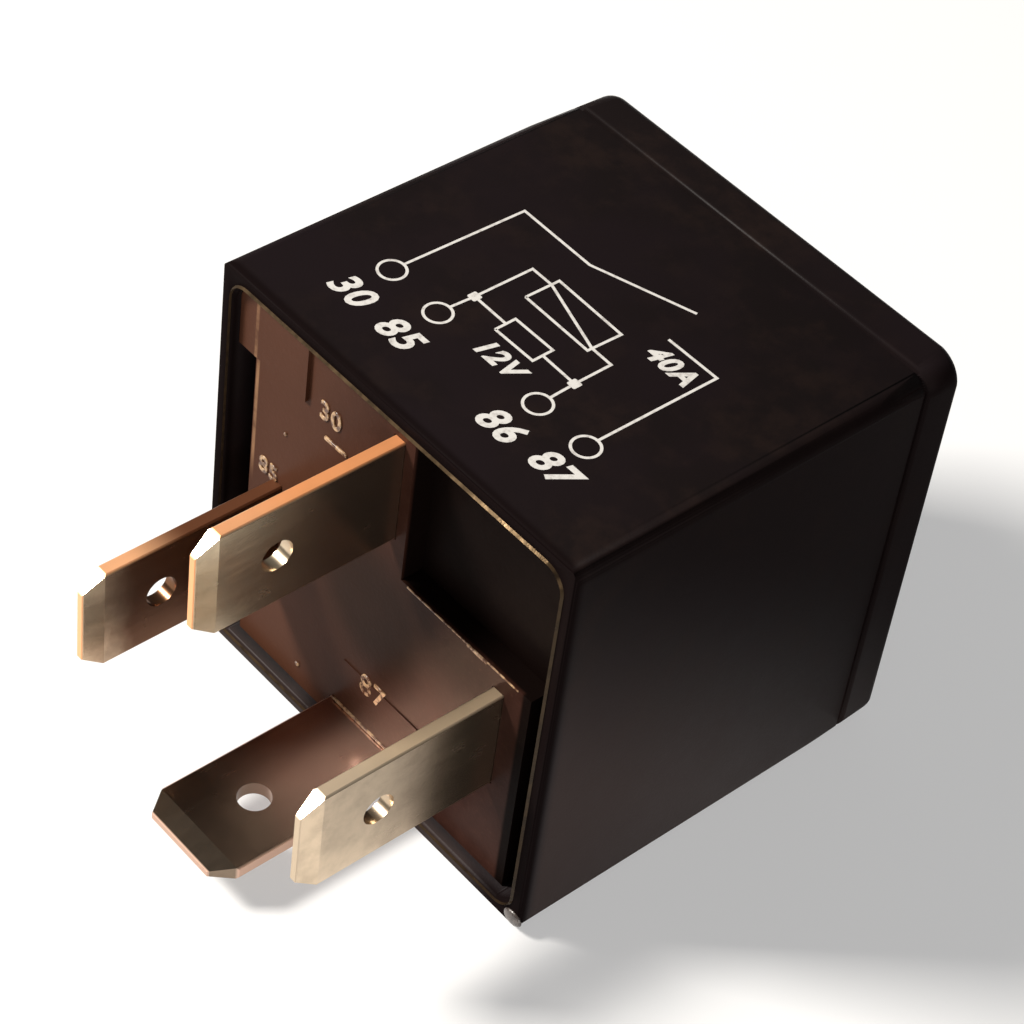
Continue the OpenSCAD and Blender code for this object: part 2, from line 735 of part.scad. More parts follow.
module contact_spring() {
    path = leaf_path;
    color(copper) in_case() difference() {
        intersection() {
            along_x(leaf_w)
                polygon(concat(side_of(path, leaf_t / 2), reversed(side_of(path, -leaf_t / 2))));
            // The finger past the armature is narrower than the rest
            union() {
                block([-leaf_w, 0, finger_z], [leaf_w, case_d, case_h]);
                block([-finger_w / 2, 0, 0], [finger_w / 2, case_d, finger_z + eps]);
            }
        }
        for (s = [-1, 1]) {
            translate([s * rivet_x, spring_rivet_y, 0])
                bar_z(rivet_r + hole_gap, yoke_out_z - over, yoke_out_z + over);
            opened() translate([s * rivet_x, 0, arm_rivet_z])
                bar_y(rivet_r + hole_gap, arm_top - over, arm_top + over);
        }
        opened() translate([0, 0, contact_z]) bar_y(shank_r + hole_gap, arm_top - over, arm_top + over);
    }
}

module spring_rivets() {
    color(iron) in_case()
        for (s = [-1, 1]) translate([s * rivet_x, spring_rivet_y, 0]) {
            bar_z(rivet_r, yoke_in_z + touch, yoke_out_z + leaf_t + 2 * touch + eps);
            bar_z(rivet_head_r, yoke_out_z + leaf_t + 2 * touch, yoke_out_z + leaf_t + rivet_head_h);
        }
}

module moving_contact() {
    color(silver) in_case() opened() translate([0, 0, contact_z]) {
        bar_y(contact_r, arm_top - contact_t, arm_top);
        bar_y(shank_r, arm_top - eps, arm_top + leaf_t + 2 * touch + eps);
        bar_y(upset_r, arm_top + leaf_t + 2 * touch, arm_top + leaf_t + rivet_head_h);
    }
}

module fixed_contact() {
    color(silver) in_case() translate([0, 0, contact_z]) {
        bar_y(contact_r, tab_top + touch, tab_top + contact_t);
        bar_y(shank_r, tab_top - blade_t - touch - eps, tab_top + touch + eps);
        bar_y(upset_r, tab_top - blade_t - rivet_head_h, tab_top - blade_t - touch);
    }
}

// Route of the pigtail: welded to the yoke's back beside the spring, round
// the armature's side and across the spring's finger. The first points are
// counted from the weld, the last ones from the finger.
weld = [weld_side, leg_top, yoke_out_z + touch + braid_r];
finger_end = turned([leaf_y + leaf_t / 2 + touch + braid_r, finger_z - braid_drop]);
around_x = yoke_w / 2 + braid_out;
braid_route = concat(
    [for (p = [
        [0, -8.1, 0], [0, -6.1, 0], [0.1, -4.1, 0], [0.8, -2.1, 0.2], [2.2, -0.3, 0.3], [3.8, 1.1, -0.2],
        [around_x - weld_side, 2.1, -1.8], [around_x - weld_side + 0.2, 2.7, -4],
        [around_x - weld_side + 0.1, 3.2, -7], [around_x - weld_side - 0.2, 3.8, -10]
    ]) weld + p],
    [for (p = [
        [8.7, -0.9, 3.3], [7.6, -0.4, 1], [6, -0.1, 0.3], [4.2, 0, 0], [2.4, 0, 0], [0.6, 0, 0], [-1.2, 0, 0]
    ]) [p[0], finger_end[0] + p[1], finger_end[1] + p[2]]]
);

// Tube of 8 sides along a route
module tube(route, r) {
    n = 8;
    last = len(route) - 1;
    rings = [
        for (i = [0 : last])
            let (
                d = unit(route[min(i + 1, last)] - route[max(i - 1, 0)]),
                u = unit(cross(d, abs(d[2]) < 0.9 ? [0, 0, 1] : [0, 1, 0])),
                v = cross(d, u)
            )
            for (k = [0 : n - 1]) route[i] + r * (cos(k * 360 / n) * u + sin(k * 360 / n) * v)
    ];
    sides = [
        for (i = [0 : last - 1], k = [0 : n - 1], half = [0, 1])
            let (
                a = i * n + k,
                b = i * n + (k + 1) % n
            )
            half == 0 ? [a, b + n, b] : [a, a + n, b + n]
    ];
    ends = [[for (k = [0 : n - 1]) k], [for (k = [n - 1 : -1 : 0]) last * n + k]];
    polyhedron(rings, concat(sides, ends));
}

module pigtail() {
    color(copper) in_case() tube(braid_route, braid_r);
}

// --------------------------------------------------------------- resistor

module resistor_body() {
    color(nylon) in_case() translate([0, res_y, res_z]) rotate([0, 90, 0]) {
        cylinder(r = res_waist_r, h = res_l, center = true);
        for (s = [-1, 1]) translate([0, 0, s * (res_l - res_cap) / 2])
            cylinder(r = res_r, h = res_cap, center = true);
    }
}

// Lead that leaves the resistor along X and turns up beside its terminal
module resistor_lead(side) {
    start = res_l / 2 + touch;
    color(silver) in_case() scale([side, 1, 1]) translate([0, res_y, res_z]) {
        translate([start, 0, 0]) rotate([0, 90, 0])
            cylinder(r = lead_r, h = lead_x - lead_bend - start);
        translate([lead_x - lead_bend, 0, lead_bend]) rotate([90, 0, 0])
            rotate_extrude(angle = -90) translate([lead_bend, 0]) circle(lead_r);
        translate([lead_x, 0, lead_bend])
            cylinder(r = lead_r, h = lead_top_z - res_z - lead_bend);
    }
}

module resistor_lead_85() { resistor_lead(-1); }

module resistor_lead_86() { resistor_lead(1); }

// -------------------------------------------------------------- assembly

cover();
base();
terminal_30();
terminal_85();
terminal_86();
terminal_87();
yoke();
core();
bobbin();
coil_winding();
coil_wire_85();
coil_wire_86();
armature();
armature_rivets();
contact_spring();
spring_rivets();
moving_contact();
fixed_contact();
pigtail();
resistor_body();
resistor_lead_85();
resistor_lead_86();
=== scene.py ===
"""Automotive relay: finishes, printed circuit drawing, moulded marks, the wound coil, the contact spring
and the braided pigtail.
"""

import itertools
import math

import bpy
from mathutils import Matrix, Vector


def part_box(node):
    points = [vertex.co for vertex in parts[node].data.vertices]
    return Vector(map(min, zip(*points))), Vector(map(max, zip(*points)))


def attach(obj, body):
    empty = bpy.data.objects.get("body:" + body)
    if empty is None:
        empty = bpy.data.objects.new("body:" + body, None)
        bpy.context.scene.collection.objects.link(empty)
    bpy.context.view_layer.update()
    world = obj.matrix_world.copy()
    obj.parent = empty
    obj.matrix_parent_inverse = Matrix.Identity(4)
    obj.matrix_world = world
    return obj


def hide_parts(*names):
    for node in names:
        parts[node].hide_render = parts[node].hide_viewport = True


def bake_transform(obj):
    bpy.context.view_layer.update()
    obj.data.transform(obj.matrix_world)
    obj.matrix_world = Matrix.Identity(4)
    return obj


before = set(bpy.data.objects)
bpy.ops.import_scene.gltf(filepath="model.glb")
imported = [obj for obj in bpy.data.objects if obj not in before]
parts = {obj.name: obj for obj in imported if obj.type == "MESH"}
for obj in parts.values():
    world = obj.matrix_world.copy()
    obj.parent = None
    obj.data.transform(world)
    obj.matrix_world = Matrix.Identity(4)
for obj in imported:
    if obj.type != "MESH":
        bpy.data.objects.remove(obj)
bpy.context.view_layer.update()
mm = 0.001


# ------------------------------------------------------------------- sizes

cover_low, cover_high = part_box("cover")
band_proud = 0.12 * mm        # the end band stands this far above the side walls
wall = 1 * mm
corner_r = 1.8 * mm           # rounding of the closed end's corners, seen along the axis
end_r = 0.6 * mm              # rounding between the closed end and the sides
mouth_r = 1 * mm              # rounding of the mouth's corners
key_proud = 0.2 * mm          # the base's corner key stands this far above its face
middle_z = (cover_low.z + cover_high.z) / 2
face_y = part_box("base")[0].y + key_proud
mouth_w = cover_high.x - cover_low.x - 2 * (band_proud + wall)
mouth_h = cover_high.z - cover_low.z - 2 * (band_proud + wall)
tube_r = 3.7 * mm             # the bobbin's tube, which the wire lies round
gate_at = (12.35 * mm, cover_low.y, 0.85 * mm)          # low on the rim, on blade 86's side

# In millimetres, as marks and finishes are placed
pocket_depth = 9.7            # from the mouth's upper side down to the pocket's sill
pocket_sill = (middle_z + mouth_h / 2) / mm - pocket_depth
left_edge = -10.52            # where the base's face meets its left channel
blade_w, blade_tip = 6.3, -18


# ------------------------------------------------------------ shader maths


class Value:
    """A number or a colour in a finish. Arithmetic on it adds the nodes that work it out."""

    def __init__(self, finish, socket):
        self.finish = finish
        self.socket = socket

    def maths(self, operation, *terms):
        """Adds one Math node on these terms."""
        return self.finish.node("ShaderNodeMath", {"operation": operation}, dict(enumerate(terms)))

    def __add__(self, other):
        return self.maths("ADD", self, other)

    def __radd__(self, other):
        return self.maths("ADD", other, self)

    def __sub__(self, other):
        return self.maths("SUBTRACT", self, other)

    def __rsub__(self, other):
        return self.maths("SUBTRACT", other, self)

    def __mul__(self, other):
        return self.maths("MULTIPLY", self, other)

    def __rmul__(self, other):
        return self.maths("MULTIPLY", other, self)

    def size(self):
        """The same number without its sign."""
        return self.maths("ABSOLUTE", self)

    def ramp(self, low, high):
        """0 at low and 1 at high, with a soft step between them."""
        settings = {"interpolation_type": "SMOOTHSTEP"}
        return self.finish.node("ShaderNodeMapRange", settings, {0: self, 1: low, 2: high})


class Finish:
    """A procedural material built round one Principled shader."""

    def __init__(self, name, colour, roughness, **fixed):
        self.material = bpy.data.materials.new(name)
        self.material.use_nodes = True
        self.tree = self.material.node_tree
        self.shader = self.tree.nodes["Principled BSDF"]
        self.set("Base Color", colour + (1,))
        self.set("Roughness", roughness)
        for socket, value in fixed.items():
            self.set(socket.replace("_", " "), value)
        self.place = self.node("ShaderNodeTexCoord", output="Object")

    def set(self, socket, value):
        """Gives one socket of the shader a fixed value or a worked-out one."""
        self.plug(self.shader.inputs[socket], value)

    def plug(self, socket, value):
        """Links a worked-out value to any socket, or sets a fixed one on it."""
        if isinstance(value, Value):
            self.tree.links.new(value.socket, socket)
        else:
            socket.default_value = value

    def node(self, kind, settings=None, values=None, output=0):
        """Adds a node: its settings first, then the values or links of its sockets."""
        made = self.tree.nodes.new(kind)
        for name, setting in (settings or {}).items():
            setattr(made, name, setting)
        for socket, value in (values or {}).items():
            self.plug(made.inputs[socket], value)
        return Value(self, made.outputs[output])

    def axis(self, name):
        """One coordinate, in millimetres."""
        return self.node("ShaderNodeSeparateXYZ", None, {0: self.place}, output=name) * 1000

    def stretched(self, x, y, z):
        """Coordinates in which a pattern is drawn out along some axes."""
        return self.node("ShaderNodeMapping", None, {"Vector": self.place, "Scale": (x, y, z)})

    def noise(self, grain, detail=4, rough=0.55, place=None):
        """Cloudy noise with patches about grain millimetres across."""
        values = {
            "Vector": place or self.place,
            "Scale": 1 / (grain * mm),
            "Detail": detail,
            "Roughness": rough,
        }
        return self.node("ShaderNodeTexNoise", None, values)

    def mix(self, amount, first, second):
        """The first colour where amount is 0, and the second where it is 1."""
        first, second = (c + (1,) if isinstance(c, tuple) else c for c in (first, second))
        values = {0: amount, 6: first, 7: second}
        return self.node("ShaderNodeMix", {"data_type": "RGBA"}, values, output=2)

    def bump(self, height, depth, strength, under=None):
        """Relief of up to depth millimetres, over the relief under it if there is one."""
        values = {"Height": height, "Distance": depth * mm, "Strength": strength}
        if under is not None:
            values["Normal"] = under
        return self.node("ShaderNodeBump", None, values)

    def paint_flat_shade(self, amount, colour):
        """Paints shade where amount is 1: takes the shine away there and leaves a flat colour."""
        colour = colour + (1,) if isinstance(colour, tuple) else colour
        flat = {"Base Color": colour, "Roughness": 0.7, "Specular IOR Level": 0.0}
        dead = self.node("ShaderNodeBsdfPrincipled", None, flat)
        shiny = Value(self, self.shader.outputs[0])
        blend = self.node("ShaderNodeMixShader", None, {0: amount, 1: shiny, 2: dead})
        self.plug(self.tree.nodes["Material Output"].inputs["Surface"], blend)


# ---------------------------------------------------------------- finishes


def moulded_cover():
    """Satin black moulding with a faint warm mottling and fine grain; painted sheen lightens the near low
    part of blade 86's wall and the low left of the rim, and painted shade darkens and dulls the rest of the
    rim and that wall's far upper part.
    """
    f = Finish("moulded_cover", (0.0105, 0.0072, 0.0070), 0.36, Specular_IOR_Level=0.05)
    cloud = f.noise(2.2, 5, 0.62)
    patch = f.noise(7.5, 2)
    speck = f.noise(0.12, 2, 0.5)
    x, y, z = f.axis("X"), f.axis("Y"), f.axis("Z")
    side = x.ramp(12.0, 12.7)                       # the wall on blade 86's side
    front = 1 - y.ramp(-6.7, -6.2)                  # the rim's flat end
    low_left = (1 - z.ramp(3, 8)) * (1 - x.ramp(8, 11))
    rim = front * (1 - low_left)
    away = 0.6 * y + 0.8 * z                        # grows towards that wall's far upper corner
    # Painted sheen on that wall's near low part, fading towards its far upper corner
    near = side * y.ramp(-6.6, -5.8) * (1 - away.ramp(3, 18))
    painted_highlight = near + 0.55 * front * low_left         # painted sheen on the near low part of that wall and on the rim's low left
    warm = f.mix(cloud.ramp(0.42, 0.68), (0.0086, 0.0060, 0.0060), (0.0135, 0.0085, 0.0076))
    tone = f.mix(patch.ramp(0.38, 0.66), warm, (0.0100, 0.0066, 0.0074))
    f.set("Base Color", f.mix(painted_highlight * 0.8, tone, (0.036, 0.022, 0.019)))
    f.set("Roughness", 0.30 + 0.10 * cloud + 0.08 * speck)
    f.set("Normal", f.bump(speck, 0.010, 0.5, f.bump(cloud, 0.03, 0.25)))
    # Painted shade: the rim's face, apart from its low left, and the far upper part of that wall go dark
    # and dull
    f.paint_flat_shade(0.9 * rim + (1 - rim) * 0.8 * side * away.ramp(4, 20), (0.0056, 0.0034, 0.0034))
    return f.material


def moulded_lip():
    """The thin sharp edge of the cover's plastic, bright where the mould's joint was tight."""
    f = Finish(
        "moulded_lip", (0.020, 0.013, 0.008), 0.4, Specular_IOR_Level=0.22,
        Specular_Tint=(1.0, 0.66, 0.34, 1),
    )
    chatter = f.noise(0.8, 3, 0.6)
    tight = f.axis("X").ramp(3.0, 8.6)
    f.set("Base Color", f.mix(chatter.ramp(0.35, 0.7), (0.030, 0.019, 0.010), (0.010, 0.007, 0.005)))
    f.set("Roughness", 0.66 - 0.44 * tight + 0.5 * (chatter - 0.5))
    f.set("Normal", f.bump(chatter, 0.05, 0.4))
    return f.material


def gate_stub():
    """Bright torn plastic where the mould's gate broke away."""
    f = Finish("gate_stub", (0.05, 0.04, 0.036), 0.3, Specular_IOR_Level=1.0)
    torn = f.noise(0.2, 4, 0.6)
    f.set("Base Color", f.mix(torn.ramp(0.3, 0.7), (0.03, 0.022, 0.02), (0.10, 0.08, 0.07)))
    f.set("Roughness", 0.2 + 0.2 * torn)
    f.set("Normal", f.bump(torn, 0.05, 0.5))
    return f.material


def marks_painted_glint():
    """The base's plastic where it stands proud, painted much lighter than the base for the glints it
    catches.
    """
    f = Finish("marks_painted_glint", (0.30, 0.17, 0.085), 0.3, Specular_IOR_Level=0.4)
    glint_patches = f.noise(0.35, 4, 0.6)
    # Painted highlight: tones far lighter than the base's own plastic
    tone = f.mix(glint_patches.ramp(0.40, 0.62), (0.085, 0.036, 0.018), (0.44, 0.28, 0.15))
    f.set("Base Color", tone)
    f.set("Roughness", 0.18 + 0.22 * glint_patches)
    f.set("Normal", f.bump(glint_patches, 0.03, 0.5))
    return f.material


def moulded_base():
    """Glossy red-brown moulding, clouded by its filler and rougher where it is recessed, with painted light
    on it: lighter to the left, painted shade in the recesses, along the right channel and between the
    blades, and a painted highlight along its left edge.
    """
    f = Finish("moulded_base", (0.085, 0.036, 0.022), 0.24, Specular_IOR_Level=0.025)
    cloud = f.noise(3.4, 5, 0.6)
    grain = f.noise(0.28, 3, 0.6)
    x, z = f.axis("X"), f.axis("Z")
    behind = f.axis("Y") - face_y / mm
    sunk = behind.ramp(0.03, 0.25) * (1 - behind.ramp(2.4, 3.0))
    beside = x.ramp(10.0, 10.25)                    # the strip along the right channel, given painted shade like the recesses
    sunk = sunk + beside - sunk * beside
    # Painted light: the face is lighter towards the left
    left = 1 - x.ramp(-9, 4)
    tone = f.mix(cloud.ramp(0.35, 0.7), (0.022, 0.0085, 0.0060), (0.036, 0.0150, 0.0110))
    tone = f.mix(left * 0.7, tone, (0.078, 0.031, 0.017))
    tone = f.mix(grain.ramp(0.55, 0.8) * 0.30, tone, (0.085, 0.040, 0.026))
    off_x, off_z = x + 1, z - 11.5                  # from the middle of the painted shade between the blades
    painted_shade_between_blades = 1 - (off_x * off_x + off_z * off_z).ramp(3, 34)
    tone = f.mix(painted_shade_between_blades * 0.72, tone, (0.008, 0.0042, 0.0022))
    # Painted highlight along the face's left edge, above its middle
    painted_highlight = (1 - (x - left_edge).size().ramp(0.06, 0.16)) * z.ramp(12, 15)
    tone = f.mix(painted_highlight * cloud.ramp(0.3, 0.6), tone, (0.24, 0.13, 0.07))
    # Painted shade in the recesses and along the right channel
    tone = f.mix(sunk, tone, (0.0040, 0.0020, 0.0016))
    f.set("Base Color", tone)
    f.set("Roughness", 0.20 + 0.14 * cloud + 0.10 * grain + 0.25 * sunk)
    f.set("Normal", f.bump(grain, 0.02, 0.4, f.bump(cloud, 0.08, 0.3)))
    return f.material


def tinned_blade(name, across, middle, fading, bright, dull, cut_tip, cut_root):
    """Tinned brass strip: rolled faces, bright at the tip and dull towards the base, with stamped edges;
    this light and shade along it is painted.

    Its width lies along the axis across, about middle. Its painted tone turns from bright to dull over
    fading, a span of Y, and that of its stamped edges from cut_tip to cut_root.
    """
    f = Finish(name, bright, 0.26, Metallic=1.0)
    drawn = f.noise(0.5, 4, 0.6, f.stretched(1, 0.1, 1))
    cloud = f.noise(1.7, 4, 0.6)
    y = f.axis("Y")
    side = (f.axis(across) - middle).size().ramp(blade_w / 2 - 0.13, blade_w / 2 - 0.02)
    edge = side + (1 - side) * (1 - y.ramp(blade_tip + 0.03, blade_tip + 0.13))
    # Painted light and shade along the blade, from the tip's tone to the root's
    painted_tip_to_root = (y + 1.6 * cloud).ramp(*fading)
    faces = f.mix(cloud.ramp(0.35, 0.7), bright, tuple(0.78 * level for level in bright))
    f.set("Metallic", 1 - 0.05 * painted_tip_to_root * (1 - edge))
    # The stamped edges keep a copper colour, with painted shade along them from tip to root
    cut = f.mix(y.ramp(blade_tip + 2.4, blade_tip + 6.4), cut_tip, cut_root)
    f.set("Base Color", f.mix(edge, f.mix(painted_tip_to_root, faces, dull), cut))
    f.set("Roughness", 0.16 + 0.10 * drawn + 0.08 * cloud + 0.40 * edge)
    f.set("Normal", f.bump(drawn, 0.01, 0.35, f.bump(cloud, 0.03, 0.25)))
    return f.material


def plated_iron():
    """Zinc-plated soft iron, slightly clouded."""
    f = Finish("plated_iron", (0.52, 0.52, 0.50), 0.34, Metallic=1.0)
    cloud = f.noise(1.4, 5, 0.6)
    scratch = f.noise(0.35, 3, 0.6, f.stretched(1, 0.08, 1))
    f.set("Base Color", f.mix(cloud.ramp(0.35, 0.7), (0.44, 0.44, 0.42), (0.62, 0.61, 0.58)))
    f.set("Roughness", 0.26 + 0.16 * cloud + 0.10 * scratch)
    f.set("Normal", f.bump(scratch, 0.012, 0.4))
    return f.material


def nylon():
    """Natural nylon, a little yellowed in clouds."""
    f = Finish("nylon", (0.72, 0.68, 0.58), 0.45)
    cloud = f.noise(2.2, 4, 0.55)
    grain = f.noise(0.15, 2, 0.5)
    f.set("Base Color", f.mix(cloud.ramp(0.3, 0.7), (0.66, 0.61, 0.50), (0.78, 0.75, 0.66)))
    f.set("Roughness", 0.38 + 0.14 * grain)
    f.set("Normal", f.bump(grain, 0.012, 0.4))
    return f.material


def enamelled_wire():
    """Enamelled copper: deep orange-brown under a glossy lacquer."""
    f = Finish(
        "enamelled_wire", (0.55, 0.17, 0.05), 0.28, Metallic=0.85, Coat_Roughness=0.08, Coat_Weight=0.6,
    )
    cloud = f.noise(0.9, 4, 0.6)
    f.set("Base Color", f.mix(cloud.ramp(0.35, 0.7), (0.42, 0.12, 0.035), (0.68, 0.25, 0.08)))
    f.set("Roughness", 0.22 + 0.12 * cloud)
    return f.material


def spring_bronze():
    """Rolled phosphor bronze with lines along its length."""
    f = Finish("spring_bronze", (0.72, 0.42, 0.22), 0.24, Metallic=1.0)
    rolled = f.noise(0.25, 3, 0.6, f.stretched(1, 0.06, 0.06))
    cloud = f.noise(1.6, 4)
    f.set("Base Color", f.mix(cloud.ramp(0.35, 0.7), (0.66, 0.37, 0.18), (0.78, 0.50, 0.28)))
    f.set("Roughness", 0.18 + 0.16 * rolled)
    f.set("Normal", f.bump(rolled, 0.008, 0.4))
    return f.material


def silver():
    """Silver-alloy contact, dulled by a thin tarnish."""
    f = Finish("silver", (0.80, 0.79, 0.75), 0.3, Metallic=1.0)
    cloud = f.noise(0.7, 5, 0.65)
    f.set("Base Color", f.mix(cloud.ramp(0.4, 0.75), (0.84, 0.83, 0.80), (0.55, 0.49, 0.38)))
    f.set("Roughness", 0.22 + 0.22 * cloud)
    f.set("Normal", f.bump(cloud, 0.02, 0.35))
    return f.material


def bare_braid():
    """Bare copper braid, darker in its hollows."""
    f = Finish("bare_braid", (0.72, 0.34, 0.17), 0.36, Metallic=1.0)
    strand = f.noise(0.2, 3, 0.6)
    f.set("Base Color", f.mix(strand.ramp(0.3, 0.7), (0.45, 0.18, 0.08), (0.82, 0.45, 0.25)))
    f.set("Roughness", 0.28 + 0.2 * strand)
    return f.material


def resistor_lacquer():
    """Blue-grey lacquer over a ceramic body, with coloured value bands."""
    f = Finish("resistor_lacquer", (0.25, 0.36, 0.46), 0.3)
    along = f.axis("X")
    bands = [
        (-2.2, (0.55, 0.22, 0.02)),
        (-1.1, (0.02, 0.02, 0.02)),
        (0.0, (0.10, 0.035, 0.015)),
        (1.6, (0.60, 0.42, 0.10)),
    ]
    cloud = f.noise(0.8, 4)
    tone = f.mix(cloud.ramp(0.35, 0.7), (0.22, 0.32, 0.42), (0.30, 0.42, 0.52))
    for at, colour in bands:
        tone = f.mix(1 - (along - at).size().ramp(0.22, 0.28), tone, colour)
    f.set("Base Color", tone)
    f.set("Roughness", 0.24 + 0.14 * cloud)
    f.set("Normal", f.bump(cloud, 0.03, 0.3))
    return f.material


def tinned_wire():
    """Bright tinned copper wire."""
    f = Finish("tinned_wire", (0.74, 0.73, 0.70), 0.22, Metallic=1.0)
    cloud = f.noise(0.5, 4)
    f.set("Base Color", f.mix(cloud.ramp(0.35, 0.7), (0.66, 0.65, 0.62), (0.80, 0.79, 0.76)))
    f.set("Roughness", 0.16 + 0.2 * cloud)
    return f.material


def white_ink():
    """Pad-printed white ink, thin in places."""
    f = Finish("white_ink", (0.62, 0.60, 0.57), 0.5, Specular_IOR_Level=0.3)
    thin = f.noise(0.35, 4, 0.65)
    f.set("Base Color", f.mix(thin.ramp(0.45, 0.8), (0.64, 0.62, 0.59), (0.36, 0.33, 0.31)))
    f.set("Roughness", 0.44 + 0.16 * thin)
    f.set("Normal", f.bump(thin, 0.006, 0.4))
    return f.material


def pale_floor():
    """Plain pale studio sweep, lit a little from beneath so that shadows stay soft."""
    f = Finish(
        "pale_floor", (0.55, 0.55, 0.55), 0.75, Specular_IOR_Level=0.1,
        Emission_Color=(1, 1, 1, 1), Emission_Strength=0.38,
    )
    cloud = f.noise(40, 2)
    f.set("Base Color", f.mix(cloud, (0.54, 0.54, 0.54), (0.56, 0.56, 0.56)))
    return f.material


# ------------------------------------------------------------ modelling aids


def close_editing():
    """Goes back to object mode."""
    if bpy.context.mode != "OBJECT":
        bpy.ops.object.mode_set(mode="OBJECT")


def choose(*pieces):
    """Selects these pieces alone, and makes the first of them active."""
    bpy.ops.object.select_all(action="DESELECT")
    for piece in pieces:
        piece.select_set(True)
    bpy.context.view_layer.objects.active = pieces[0]


def start(name, adder, **settings):
    """Adds one primitive with nothing else selected, and opens it for editing."""
    bpy.ops.object.select_all(action="DESELECT")
    adder(**settings)
    piece = bpy.context.object
    piece.name = name
    piece.data.name = name
    bpy.ops.object.mode_set(mode="EDIT")
    bpy.ops.mesh.select_mode(type="VERT")
    return piece


def pick(piece, kind, test):
    """Selects the vertices, edges or faces that pass a test, and leaves the piece in editing."""
    bpy.ops.mesh.select_mode(type=kind)
    bpy.ops.mesh.select_all(action="DESELECT")
    bpy.ops.object.mode_set(mode="OBJECT")
    group = {"VERT": piece.data.vertices, "EDGE": piece.data.edges, "FACE": piece.data.polygons}[kind]
    for item in group:
        item.select = test(item)
    bpy.ops.object.mode_set(mode="EDIT")


def settle(piece):
    """Closes editing, and puts the piece's place into its mesh."""
    close_editing()
    choose(piece)
    bpy.ops.object.transform_apply(location=True, rotation=True, scale=True)
    return piece


def modify(piece, kind, **settings):
    """Adds one modifier with its settings, and applies it."""
    close_editing()
    modifier = piece.modifiers.new(kind.lower(), kind)
    for name, value in settings.items():
        setattr(modifier, name, value)
    bpy.context.view_layer.objects.active = piece
    bpy.ops.object.modifier_apply(modifier=modifier.name)


def tidy_normals(piece):
    """Merges doubles, and turns every face outwards."""
    bpy.context.view_layer.objects.active = piece
    bpy.ops.object.mode_set(mode="EDIT")
    bpy.ops.mesh.select_all(action="SELECT")
    bpy.ops.mesh.remove_doubles(threshold=1e-7)
    bpy.ops.mesh.normals_make_consistent(inside=False)
    bpy.ops.object.mode_set(mode="OBJECT")


def join(name, pieces):
    """Makes one piece of several."""
    choose(*pieces)
    bpy.ops.object.join()
    joined = bpy.context.object
    joined.name = name
    joined.data.name = name
    return joined


def merged_copy(node, name):
    """A CAD node's mesh as a piece of its own, with its doubles merged."""
    bpy.ops.object.select_all(action="DESELECT")
    piece = bpy.data.objects.new(name, parts[node].data.copy())
    bpy.context.scene.collection.objects.link(piece)
    tidy_normals(piece)
    return piece


def dress(piece, material):
    """Gives the whole piece one finish."""
    piece.data.materials.clear()
    piece.data.materials.append(material)


# ------------------------------------------------------- printed circuit drawing

print_z = cover_high.z - band_proud
line_w = 0.15 * mm
ink_t = 0.012 * mm
ink_step = 0.0004 * mm        # each stroke lies a hair above the last, so that none are level
cap_share = 0.7               # a capital's height as a share of the lettering's size
ink_layers = itertools.count(1)


def ink_level():
    """Height of the next stroke."""
    return print_z + ink_step * next(ink_layers)


def thicken(piece):
    """Turns an outline, open or closed, into a flat ink line."""
    bpy.ops.mesh.select_all(action="SELECT")
    bpy.ops.mesh.extrude_region_move(TRANSFORM_OT_translate={"value": (0, 0, ink_t)})
    modify(piece, "SOLIDIFY", thickness=line_w, offset=0, use_even_offset=True)
    tidy_normals(piece)
    return settle(piece)


def stroke(points):
    """Ink line through the points, given in millimetres."""
    x, y = points[0]
    at = (x * mm, y * mm, ink_level())
    piece = start("stroke", bpy.ops.mesh.primitive_plane_add, size=line_w, location=at)
    bpy.ops.mesh.select_all(action="SELECT")
    bpy.ops.mesh.merge(type="CENTER")
    for (x0, y0), (x1, y1) in zip(points, points[1:]):
        step = ((x1 - x0) * mm, (y1 - y0) * mm, 0)
        bpy.ops.mesh.extrude_region_move(TRANSFORM_OT_translate={"value": step})
    return thicken(piece)


def outline(points):
    """Closed ink line round four corners."""
    return stroke(points + [points[0]])


def ring(x, y, radius):
    """Ink ring that stands for a pin."""
    at = (x * mm, y * mm, ink_level())
    piece = start("ring", bpy.ops.mesh.primitive_circle_add, vertices=40, radius=radius * mm, location=at)
    return thicken(piece)


def dot(x, y, side):
    """Filled ink spot where lines join, with rounded corners."""
    at = (x * mm, y * mm, ink_level())
    piece = start("dot", bpy.ops.mesh.primitive_plane_add, size=side * mm, location=at)
    bpy.ops.mesh.select_all(action="SELECT")
    bpy.ops.mesh.bevel(offset=0.08 * mm, segments=3, affect="VERTICES")
    bpy.ops.mesh.select_all(action="SELECT")
    bpy.ops.mesh.extrude_region_move(TRANSFORM_OT_translate={"value": (0, 0, ink_t)})
    bpy.ops.object.mode_set(mode="OBJECT")
    tidy_normals(piece)
    return settle(piece)


def lettering(name, words, height, bold, slant, depth, turn, at):
    """Characters with a cap height in millimetres, set up by turn and moved to at."""
    bpy.ops.object.select_all(action="DESELECT")
    bpy.ops.object.text_add()
    piece = bpy.context.object
    piece.name = name
    piece.data.body = words
    piece.data.align_x = "CENTER"
    piece.data.align_y = "CENTER"
    piece.data.size = height * mm / cap_share
    piece.data.offset = bold * mm
    piece.data.shear = slant
    piece.data.extrude = depth * mm / 2
    piece.data.resolution_u = 4
    piece.data.space_character = 1.1
    bpy.ops.object.convert(target="MESH")
    piece.data.transform(Matrix.Translation(at) @ turn)
    tidy_normals(piece)
    return settle(piece)


def printed(words, x, y, height):
    """Slanted ink characters on the print's face."""
    at = Vector((x * mm, y * mm, ink_level() + ink_t / 2))
    return lettering("print", words, height, 0.06, 0.25, ink_t / mm, Matrix.Identity(4), at)


